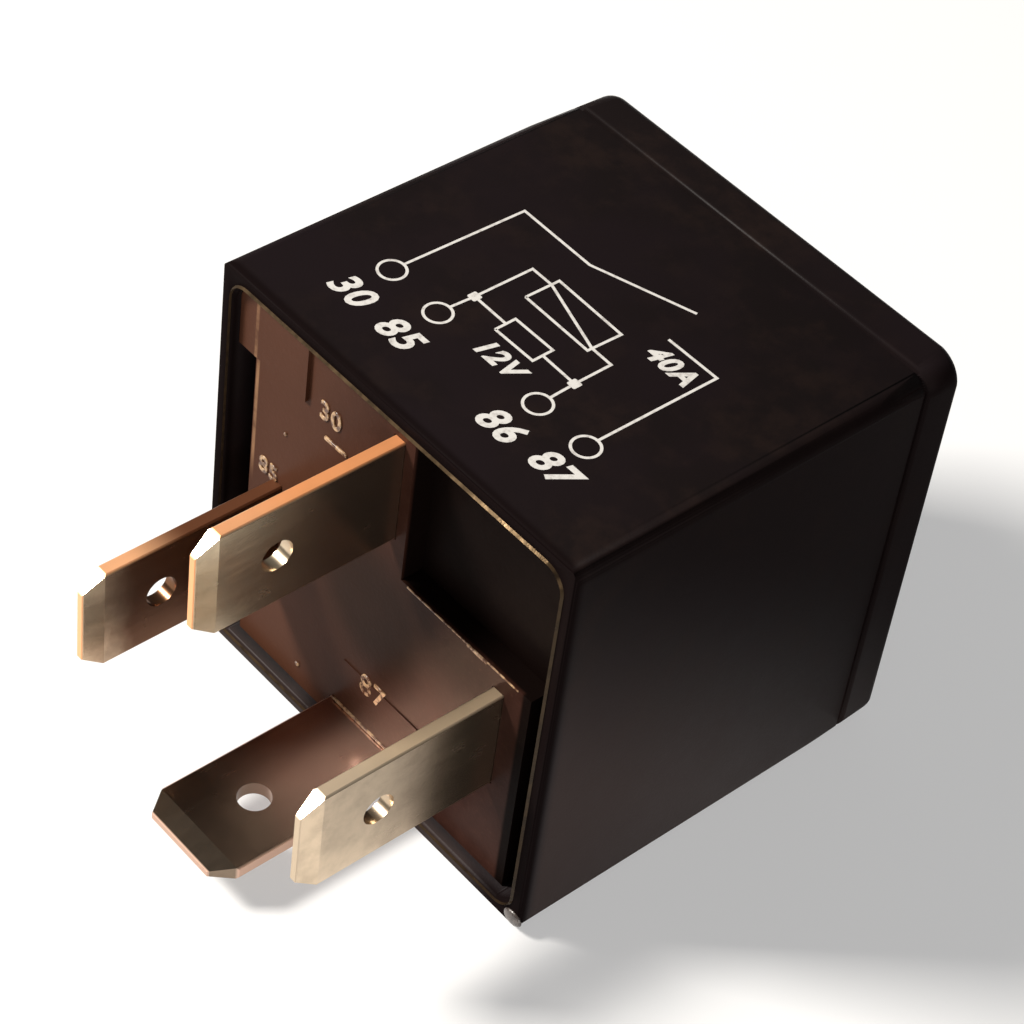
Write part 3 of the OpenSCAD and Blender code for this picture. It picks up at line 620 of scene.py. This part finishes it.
def circuit_drawing():
    """Coil with its resistor between 85 and 86, and a switch from 30 to 87."""
    pin_r = 0.72
    pins = [(-7.57, -0.71), (-3.95, -0.86), (3.51, -1.06), (6.92, -1.12)]
    strokes = [ring(x, y, pin_r) for x, y in pins]
    (x30, y30), (x85, y85), (x86, y86), (x87, y87) = pins
    joint_85, joint_86 = (-3.87, 1.35), (3.45, 1.25)
    strokes += [
        stroke([(x30, y30 + pin_r), (-7.39, 7.55), (-2.52, 7.52), (3.06, 9.45)]),
        stroke([(x87, y87 + pin_r), (6.95, 7.1), (3.65, 7.05)]),
        stroke([(x85, y85 + pin_r), joint_85]),
        stroke([joint_85, (-3.85, 5.0), (-2.47, 5.0), (2.05, 3.58), (3.43, 3.56), joint_86]),
        stroke([joint_86, (x86, y86 + pin_r)]),
        outline([(-2.48, 3.36), (-2.46, 5.5), (2.12, 5.4), (2.06, 3.3)]),
        stroke([joint_85, (-1.55, 1.32)]),
        stroke([(1.14, 1.3), joint_86]),
        outline([(-1.53, 0.64), (-1.55, 1.93), (1.12, 1.95), (1.14, 0.67)]),
        dot(*joint_85, 0.55),
        dot(*joint_86, 0.55),
        printed("30", -7.55, -3.3, 1.5),
        printed("85", -3.93, -3.38, 1.5),
        printed("86", 3.53, -3.5, 1.5),
        printed("87", 7.0, -3.3, 1.5),
        printed("12V", 0.04, -0.6, 1.12),
        printed("40A", 5.05, 5.84, 1.12),
    ]
    drawing = join("circuit_drawing", strokes)
    dress(drawing, white_ink())
    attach(drawing, "housing")


# ------------------------------------------------------------- moulded marks

upright = Matrix.Rotation(math.radians(90), 4, "X")


def moulded_numbers(material):
    """Terminal numbers that stand a little proud of the base's face."""
    places = [("30", -4.9, 20.8, 1.1), ("85", -9.2, 13.9, 1.0), ("87", 0.0, 5.7, 1.3)]
    marks = []
    for words, x, z, height in places:
        at = Vector((x * mm, face_y, z * mm))
        marks.append(lettering("mark", words, height, 0.03, 0, 0.14, upright, at))
    numbers = join("moulded_numbers", marks)
    modify(numbers, "BEVEL", width=0.04 * mm, segments=2, limit_method="ANGLE")
    tidy_normals(numbers)
    dress(numbers, material)
    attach(numbers, "housing")


def bead(x1, x2, z, width):
    """Low rounded bead along the base's face, from x1 to x2 at the height z."""
    at = ((x1 + x2) / 2 * mm, face_y, z * mm)
    piece = start("bead", bpy.ops.mesh.primitive_cube_add, size=1, location=at)
    bpy.ops.mesh.select_all(action="SELECT")
    bpy.ops.transform.resize(value=((x2 - x1) * mm, width * mm, width * mm))
    bpy.ops.mesh.bevel(offset=0.3 * width * mm, segments=3, affect="EDGES")
    bpy.ops.mesh.select_all(action="SELECT")
    bpy.ops.mesh.bisect(
        plane_co=(0, face_y + 0.04 * mm, 0), plane_no=(0, 1, 0), clear_outer=True, use_fill=True,
        threshold=1e-7,
    )
    return settle(piece)


def moulded_beads(material):
    """Beads where the mould's inserts met."""
    beads = join("moulded_beads", [
        bead(-5.2, -3.5, 19.3, 0.22),                   # under a number
        bead(-3.0, 3.0, 2.72, 0.20),                    # along blade 87
        bead(1.6, 9.8, pocket_sill - 0.06, 0.10),
        bead(6.1, 7.6, pocket_sill - 0.10, 0.18),
        bead(-6.0, -5.7, 2.6, 0.24),
        bead(-8.2, -8.0, 17.2, 0.20),
    ])
    tidy_normals(beads)
    bpy.ops.object.shade_smooth_by_angle(angle=math.radians(40))
    dress(beads, material)
    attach(beads, "housing")


def mould_flash(material):
    """Fine ridge left by the mould round the inner edge of the open rim."""
    foot, run, rise = 0.30 * mm, 0.10 * mm, 0.14 * mm
    at = (0, cover_low.y + 0.01 * mm, middle_z)
    turn = (math.radians(90), 0, 0)
    ridge = start("mould_flash", bpy.ops.mesh.primitive_plane_add, size=1, location=at, rotation=turn)
    bpy.ops.mesh.select_all(action="SELECT")
    bpy.ops.transform.resize(value=(mouth_w + 2 * foot, 1, mouth_h + 2 * foot))
    bpy.ops.mesh.bevel(offset=mouth_r + foot, segments=8, affect="VERTICES")
    bpy.ops.mesh.select_mode(type="FACE")
    bpy.ops.mesh.select_all(action="SELECT")
    bpy.ops.mesh.inset(thickness=run, depth=rise)
    bpy.ops.mesh.inset(thickness=0.4 * run, depth=-rise)
    bpy.ops.mesh.delete(type="FACE")
    bpy.ops.mesh.select_mode(type="EDGE")
    bpy.ops.mesh.select_non_manifold()
    bpy.ops.mesh.bridge_edge_loops()
    bpy.ops.object.mode_set(mode="OBJECT")
    settle(ridge)
    tidy_normals(ridge)
    bpy.ops.object.shade_smooth_by_angle(angle=math.radians(30))
    dress(ridge, material)
    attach(ridge, "housing")


def eased_cover(material):
    """The cover with the corners of its closed end rounded further, fading out along the long edges.

    It is what the cover shares with a rounded form, which widens towards the open end by flare and
    reaches past that end, so that nothing is cut there.
    """
    shell = merged_copy("cover", "eased_cover")
    spare, reach, flare = 0.01 * mm, 3 * mm, 0.7 * mm
    centre = (cover_low + cover_high) / 2 + Vector((0, spare / 2 - reach / 2, 0))
    size = cover_high - cover_low + Vector((spare, spare + reach, spare))
    form = start("form", bpy.ops.mesh.primitive_cube_add, size=1, location=centre)

    def runs_lengthwise(edge):
        near, far = (form.data.vertices[corner].co.y for corner in edge.vertices)
        return near * far < 0

    bpy.ops.mesh.select_all(action="SELECT")
    bpy.ops.transform.resize(value=size)
    pick(form, "VERT", lambda corner: corner.co.y < 0)
    bpy.ops.transform.resize(value=(1 + 2 * flare / size.x, 1, 1 + 2 * flare / size.z))
    pick(form, "EDGE", runs_lengthwise)
    bpy.ops.mesh.bevel(offset=corner_r, segments=14, affect="EDGES")
    pick(form, "FACE", lambda face: face.normal.y > 0.9)
    bpy.ops.mesh.region_to_loop()
    bpy.ops.mesh.bevel(offset=end_r, segments=8, affect="EDGES")
    settle(form)
    modify(shell, "BOOLEAN", operation="INTERSECT", solver="EXACT", object=form)
    bpy.data.objects.remove(form)
    tidy_normals(shell)
    choose(shell)
    bpy.ops.object.shade_smooth_by_angle(angle=math.radians(28))
    dress(shell, material)
    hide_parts("cover")
    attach(shell, "housing")


def gate_mark(material):
    """Stub left on the lower corner of the rim where the plastic was let in."""
    stub = start(
        "gate_mark", bpy.ops.mesh.primitive_uv_sphere_add, segments=24, ring_count=14,
        radius=0.30 * mm, location=gate_at,
    )
    bpy.ops.mesh.select_all(action="SELECT")
    bpy.ops.transform.resize(value=(2.1, 0.7, 1.5))
    bpy.ops.mesh.bisect(
        plane_co=(0, cover_low.y + 0.03 * mm, 0), plane_no=(0, 1, 0), clear_outer=True, use_fill=True,
        threshold=1e-7,
    )
    settle(stub)
    tidy_normals(stub)
    bpy.ops.object.shade_smooth_by_angle(angle=math.radians(50))
    dress(stub, material)
    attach(stub, "housing")


# ------------------------------------------------- winding, contact spring and pigtail


def wound_coil(material):
    """One layer of wire laid turn by turn over the full winding."""
    low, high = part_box("coil_winding")
    centre = (low + high) / 2
    outer_r = (high.x - low.x) / 2
    turns = 34
    pitch = (high.y - low.y) / (turns + 1)
    wire_r = pitch / 2
    at = (outer_r - wire_r, low.y + wire_r, 0)
    wire = start("winding", bpy.ops.mesh.primitive_circle_add, vertices=8, radius=wire_r, location=at)
    settle(wire)
    modify(
        wire, "SCREW", axis="Y", angle=math.tau, screw_offset=pitch, iterations=turns,
        steps=40, render_steps=40, use_merge_vertices=True, merge_threshold=1e-6,
    )
    bpy.ops.object.mode_set(mode="EDIT")
    bpy.ops.mesh.select_all(action="SELECT")
    bpy.ops.mesh.fill_holes(sides=0)
    settle(wire)
    under = start(
        "winding_core", bpy.ops.mesh.primitive_cylinder_add, vertices=48, radius=outer_r - wire_r,
        depth=high.y - low.y, end_fill_type="NOTHING",
        location=(0, centre.y, 0), rotation=(math.radians(90), 0, 0),
    )
    settle(under)
    modify(under, "SOLIDIFY", thickness=outer_r - wire_r - tube_r, offset=-1)
    coil = join("winding", [wire, under])
    coil.data.transform(Matrix.Translation((0, 0, centre.z)))
    tidy_normals(coil)
    bpy.ops.object.shade_smooth_by_angle(angle=math.radians(40))
    dress(coil, material)
    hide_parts("coil_winding")
    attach(coil, "housing")


def flexing_spring(material):
    """The contact spring with its free bend, as a piece of its own with its edges rounded."""
    strip = merged_copy("contact_spring", "flexing_spring")
    modify(strip, "BEVEL", width=0.03 * mm, segments=2, limit_method="ANGLE")
    tidy_normals(strip)
    dress(strip, material)
    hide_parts("contact_spring")
    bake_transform(strip)


# Middle line of the pigtail from its weld on the yoke to the spring's finger
braid_route = [
    (4.4, 2.25, 22.47), (4.4, 4.25, 22.47), (4.5, 6.25, 22.47), (5.2, 8.25, 22.67), (6.6, 10.05, 22.77),
    (8.2, 11.45, 22.27), (9.4, 12.45, 20.67), (9.6, 13.05, 18.47), (9.5, 13.55, 15.47), (9.2, 14.15, 12.47),
    (8.7, 14.84, 9.41), (7.6, 15.34, 7.11), (6.0, 15.64, 6.41), (4.2, 15.74, 6.11),
    (2.4, 15.74, 6.11), (0.6, 15.74, 6.11), (-1.2, 15.74, 6.11),
]


def smooth_route(points, steps):
    """Catmull-Rom curve through the points, each span in equal steps."""
    points = [Vector(point) * mm for point in points]
    ends = [points[0] * 2 - points[1]] + points + [points[-1] * 2 - points[-2]]
    path = []
    for a, b, c, d in zip(ends, ends[1:], ends[2:], ends[3:]):
        for step in range(steps):
            t = step / steps
            path.append(0.5 * (2 * b + (c - a) * t + (2 * a - 5 * b + 4 * c - d) * t**2
                               + (3 * b - a - 3 * c + d) * t**3))
    return path + [points[-1]]


def braided_pigtail(material):
    """Seven strands, one straight and six laid round it."""
    path = smooth_route(braid_route, 8)
    lay = 4.5 * mm                # length of one turn of the strands
    strand_r = 0.21 * mm
    outer = 6
    strands = []
    for number in range(outer + 1):
        offset = 0 if number == outer else 2 * strand_r
        run = 0
        across = Vector((1, 0, 0))
        bpy.ops.object.select_all(action="DESELECT")
        bpy.ops.curve.primitive_nurbs_path_add()
        strand = bpy.context.object
        strand.data.splines.clear()
        spline = strand.data.splines.new("POLY")
        spline.points.add(len(path) - 1)
        for at, (before, here, after) in enumerate(zip([path[0]] + path, path, path[1:] + [path[-1]])):
            along = (after - before).normalized()
            across = (across - along * across.dot(along)).normalized()
            angle = math.tau * (run / lay + number / outer)
            aside = (across * math.cos(angle) + along.cross(across) * math.sin(angle)) * offset
            spline.points[at].co = (here + aside).to_4d()
            run += (after - here).length
        strand.data.dimensions = "3D"
        strand.data.bevel_depth = strand_r
        strand.data.bevel_resolution = 2
        strand.data.use_fill_caps = True
        bpy.ops.object.convert(target="MESH")
        strands.append(settle(strand))
    braid = join("braided_pigtail", strands)
    tidy_normals(braid)
    bpy.ops.object.shade_smooth_by_angle(angle=math.radians(50))
    dress(braid, material)
    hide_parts("pigtail")
    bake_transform(braid)


# ------------------------------------------------------------------ dressing

# How each blade lies, the tones of its tinning and the light and shade painted along it, in the words of
# tinned_blade
blades = {
    "30": {
        "across": "Z", "middle": 20.1, "fading": (-14.4, -8.8),
        "bright": (0.86, 0.72, 0.52), "dull": (0.34, 0.23, 0.16),
        "cut_tip": (1.0, 0.54, 0.28), "cut_root": (1.0, 0.48, 0.21),
    },
    "85": {
        "across": "Z", "middle": 10.4, "fading": (-17.4, -14.0),
        "bright": (0.95, 0.76, 0.54), "dull": (0.17, 0.080, 0.040),
        "cut_tip": (1.0, 0.58, 0.32), "cut_root": (0.20, 0.08, 0.04),
    },
    "86": {
        "across": "Z", "middle": 10.4, "fading": (-14.0, -8.4),
        "bright": (0.71, 0.56, 0.40), "dull": (0.34, 0.25, 0.17),
        "cut_tip": (0.66, 0.54, 0.40), "cut_root": (0.66, 0.52, 0.36),
    },
    "87": {
        "across": "X", "middle": 0.0, "fading": (-14.4, -8.4),
        "bright": (0.24, 0.18, 0.13), "dull": (0.60, 0.36, 0.27),
        "cut_tip": (0.66, 0.46, 0.36), "cut_root": (0.60, 0.40, 0.30),
    },
}
iron = plated_iron()
enamel = enamelled_wire()
lead = tinned_wire()
finishes = {
    "cover": moulded_cover(),
    "base": moulded_base(),
    **{"terminal_" + pin: tinned_blade("tinned_blade_" + pin, **look) for pin, look in blades.items()},
    "yoke": iron,
    "core": iron,
    "bobbin": nylon(),
    "coil_winding": enamel,
    "coil_wire_85": enamel,
    "coil_wire_86": enamel,
    "armature": iron,
    "armature_rivets": iron,
    "contact_spring": spring_bronze(),
    "spring_rivets": iron,
    "moving_contact": silver(),
    "fixed_contact": silver(),
    "pigtail": bare_braid(),
    "resistor_body": resistor_lacquer(),
    "resistor_lead_85": lead,
    "resistor_lead_86": lead,
}
for node, material in finishes.items():
    dress(parts[node], material)

circuit_drawing()
# Numbers and beads carry painted glints
painted_glint_marks = marks_painted_glint()
moulded_numbers(painted_glint_marks)
moulded_beads(painted_glint_marks)
eased_cover(finishes["cover"])
mould_flash(moulded_lip())
gate_mark(gate_stub())
wound_coil(enamel)
flexing_spring(finishes["contact_spring"])
braided_pigtail(finishes["pigtail"])

# ------------------------------------------------------------------- studio


def lay_floor():
    """Wide floor a hair below the face that the relay lies on."""
    floor = start("floor", bpy.ops.mesh.primitive_plane_add, size=6, location=(0, 0, 0))
    bpy.ops.mesh.subdivide(number_cuts=3)
    settle(floor)
    floor.data.transform(Matrix.Translation((0, 0, -0.02 * mm)))
    dress(floor, pale_floor())


def soft_light(name, place, aim, size, power, colour):
    """Square soft box at place, facing aim."""
    lamp = bpy.data.lights.new(name, "AREA")
    lamp.size = size
    lamp.energy = power
    lamp.color = colour
    box = bpy.data.objects.new(name, lamp)
    bpy.context.scene.collection.objects.link(box)
    box.location = Vector(place)
    box.rotation_euler = (Vector(aim) - Vector(place)).to_track_quat("-Z", "Y").to_euler()


def set_camera():
    """Close view from above the blades' right, rolled a little."""
    azimuth, elevation, roll = (math.radians(angle) for angle in (43.47, 44.44, 8.36))
    target = Vector((-0.49, 2.49, 13.14)) * mm
    distance = 155.4 * mm
    away = Vector((
        math.sin(azimuth) * math.cos(elevation),
        -math.cos(azimuth) * math.cos(elevation),
        math.sin(elevation),
    ))
    data = bpy.data.cameras.new("camera")
    data.lens = 109.44
    data.sensor_width = 36
    data.clip_start = 0.01
    data.clip_end = 10
    camera = bpy.data.objects.new("camera", data)
    bpy.context.scene.collection.objects.link(camera)
    camera.location = target + away * distance
    upright_view = (-away).to_track_quat("-Z", "Y")
    camera.rotation_mode = "QUATERNION"
    camera.rotation_quaternion = upright_view @ Matrix.Rotation(roll, 4, "Z").to_quaternion()
    bpy.context.scene.camera = camera


def light_room():
    """Faint even light, a warm key from the upper left and a weaker fill low on the right."""
    world = bpy.data.worlds.new("studio")
    world.use_nodes = True
    background = world.node_tree.nodes["Background"]
    background.inputs["Color"].default_value = (1, 1, 1, 1)
    background.inputs["Strength"].default_value = 0.10
    bpy.context.scene.world = world
    aim = (0, 0, 0.012)
    soft_light("key", (-0.27, -0.26, 0.35), aim, size=0.11, power=4.6, colour=(1.0, 0.96, 0.90))
    soft_light("fill", (0.42, -0.26, 0.10), aim, size=0.30, power=1.2, colour=(1.0, 0.95, 0.92))
    bpy.context.scene.view_settings.view_transform = "Standard"


lay_floor()
set_camera()
light_room()
